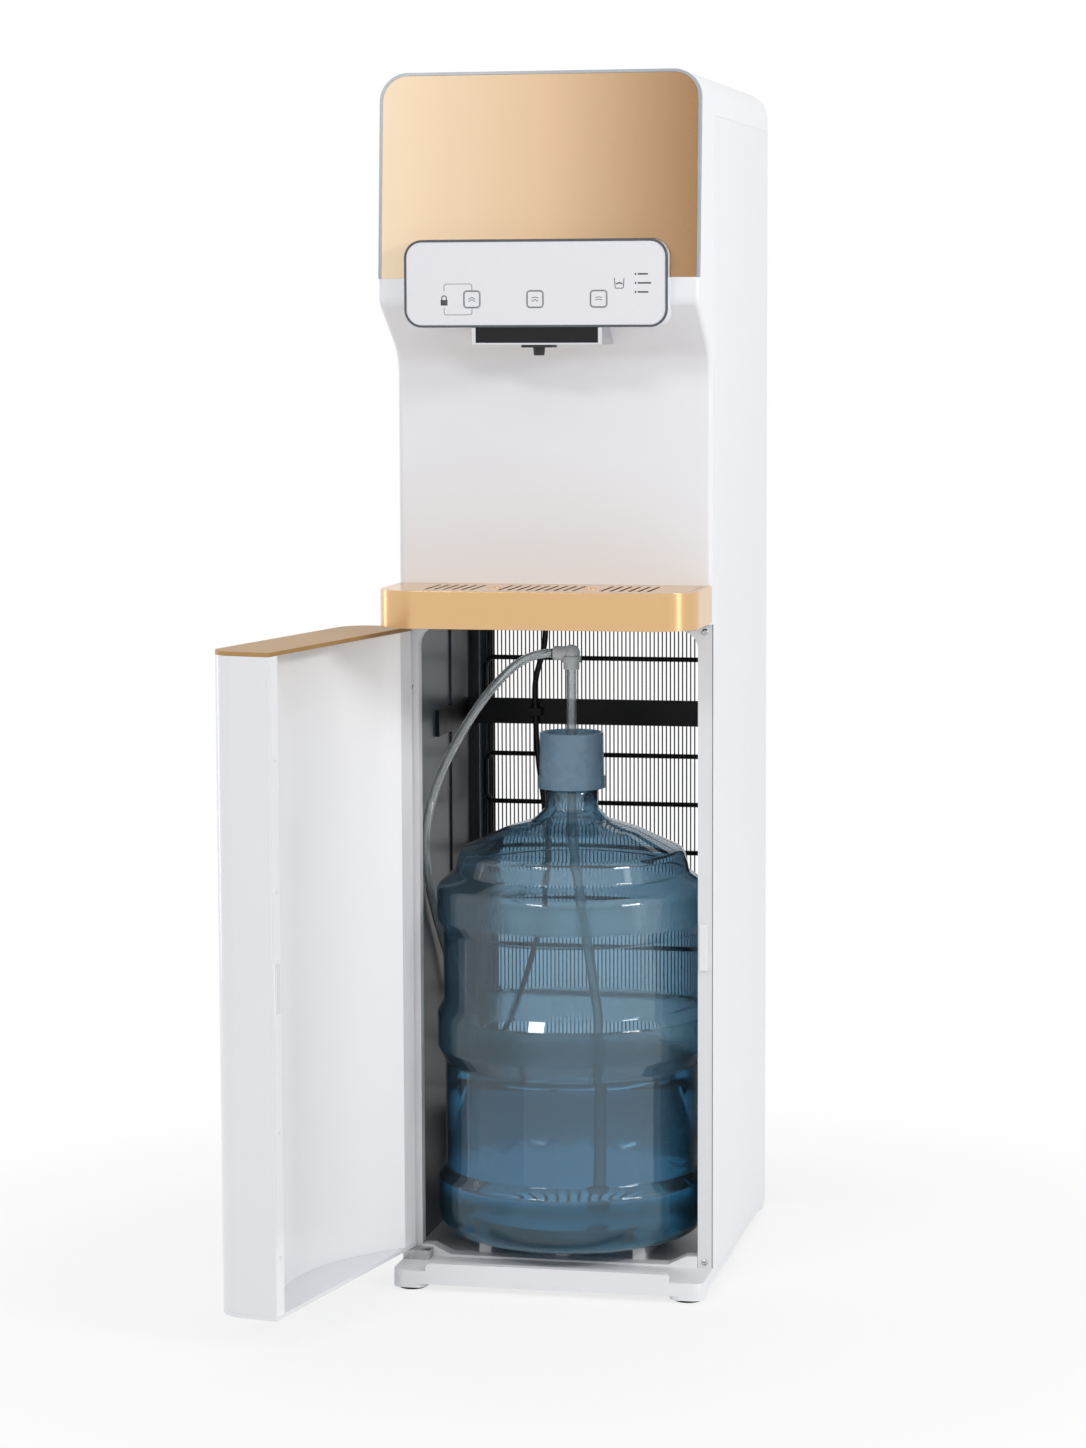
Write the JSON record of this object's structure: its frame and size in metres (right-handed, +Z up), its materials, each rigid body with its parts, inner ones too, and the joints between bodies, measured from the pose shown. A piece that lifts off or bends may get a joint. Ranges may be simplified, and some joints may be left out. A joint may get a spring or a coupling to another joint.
{
  "type": "bottom load water cooler",
  "caption": "Tall floor-standing water cooler with a door over a bottle bay, a suction pipe and hose, an outlet over a drip tray, and cooling and heating units above.",
  "frame": {"origin": "on the floor, at mid width, straight below the front face of the door frame", "axes": "+X to the viewer's right when facing the cooler, +Y towards its back, +Z up"},
  "size_m": [0.4191, 0.6776, 1.184],
  "materials": {
    "gold_gloss": "high gloss, pearl gold",
    "door_white": "pearl white",
    "gold_cap": "satin champagne gold",
    "trim_chrome": "bright plated edge",
    "panel_silver": "pale silver",
    "cabinet_grey": "fine powder coat",
    "cover_white": "white moulding",
    "base_white": "white moulding",
    "black_gloss": "piano black",
    "black_matte": "moulded black",
    "black_metal": "black paint",
    "steel": "bright steel",
    "rubber": "moulded rubber",
    "bottle_blue": "clear tinted polycarbonate",
    "water": "still water",
    "cap_blue": "translucent pale blue",
    "hose_clear": "clear flexible hose",
    "silicone": "milky silicone",
    "copper": "copper tube",
    "foam": "white foam",
    "board_green": "circuit board",
    "probe_grey": "grey-white moulding"
  },
  "bodies": {
    "cabinet": {"base_frame": "base_white", "foot_pads": "rubber", "side_panel_left": "cabinet_grey", "side_panel_right": "cabinet_grey", "front_frame": "cabinet_grey", "frame_screws": "steel", "deck_plate": "cabinet_grey", "deck_grommet": "rubber", "top_cover": "cover_white", "back_panel": "cabinet_grey", "switch_housing": "black_matte", "cable_gland": "black_matte", "drain_plug": "cover_white", "fascia_shell": "cover_white", "gold_trim": "trim_chrome", "gold_panel": "gold_gloss", "control_housing": "cover_white", "control_bezel": "trim_chrome", "control_plate": "panel_silver", "outlet_housing": "black_gloss", "outlet_trim": "trim_chrome", "nozzle": "black_matte", "tray_body": "gold_cap", "door_magnet": "base_white", "hinge_pivots": "steel", "condenser_tube": "black_metal", "condenser_wires": "black_metal", "condenser_brackets": "cabinet_grey", "rear_crossbar": "black_metal", "water_hose": "hose_clear", "riser_tube": "black_matte", "water_pump": "black_matte", "tank_shelf": "cabinet_grey", "compressor": "black_metal", "compressor_mounts": "rubber", "cold_tank": "steel", "evaporator_coil": "copper", "tank_insulation": "foam", "hot_tank": "steel", "solenoid_valves": "black_matte", "silicone_tubes": "silicone", "circuit_boards": "board_green", "refrigerant_lines": "copper"},
    "door": {"door_skin": "door_white", "door_liner": "door_white", "door_top_cap": "gold_cap", "door_bottom_cap": "door_white", "door_catch": "door_white"},
    "bottle_set": {"bottle": "bottle_blue", "bottle_cap": "cap_blue", "bottle_water": "water", "dip_tube": "probe_grey", "probe_elbow": "probe_grey"},
    "basin": {"drip_basin": "gold_cap"},
    "grille": {"drip_grille": "gold_cap"},
    "hot_key": {"key_hot": "panel_silver"},
    "ambient_key": {"key_ambient": "panel_silver"},
    "cold_key": {"key_cold": "panel_silver"},
    "heat_rocker": {"rocker_heat": "black_gloss"},
    "cool_rocker": {"rocker_cool": "black_gloss"}
  },
  "joints": [
    {"name": "door_hinge", "type": "hinge", "parent": "cabinet", "child": "door", "pos_m": [-0.1495, -0.0095, 0.34], "axis": [0, 0, -1], "range_deg": [-101, 14]},
    {"name": "bottle_slide", "type": "slide", "parent": "cabinet", "child": "bottle_set", "axis": [0, -1, 0], "range_m": [0, 0.4], "deforming": ["water_hose"]},
    {"name": "basin_lift", "type": "slide", "parent": "cabinet", "child": "basin", "axis": [0, 0, 1], "range_m": [0, 0.08]},
    {"name": "grille_lift", "type": "slide", "parent": "basin", "child": "grille", "axis": [0, 0, 1], "range_m": [0, 0.06]},
    {"name": "hot_press", "type": "slide", "parent": "cabinet", "child": "hot_key", "axis": [0, 1, 0], "range_m": [0, 0.0012], "stiffness_N_per_m": 600},
    {"name": "ambient_press", "type": "slide", "parent": "cabinet", "child": "ambient_key", "axis": [0, 1, 0], "range_m": [0, 0.0012], "stiffness_N_per_m": 600},
    {"name": "cold_press", "type": "slide", "parent": "cabinet", "child": "cold_key", "axis": [0, 1, 0], "range_m": [0, 0.0012], "stiffness_N_per_m": 600},
    {"name": "heat_switch", "type": "hinge", "parent": "cabinet", "child": "heat_rocker", "pos_m": [0.07, 0.345, 1.09], "axis": [1, 0, 0], "range_deg": [0, 8]},
    {"name": "cool_switch", "type": "hinge", "parent": "cabinet", "child": "cool_rocker", "pos_m": [0.1, 0.345, 1.09], "axis": [1, 0, 0], "range_deg": [0, 8]}
  ]
}
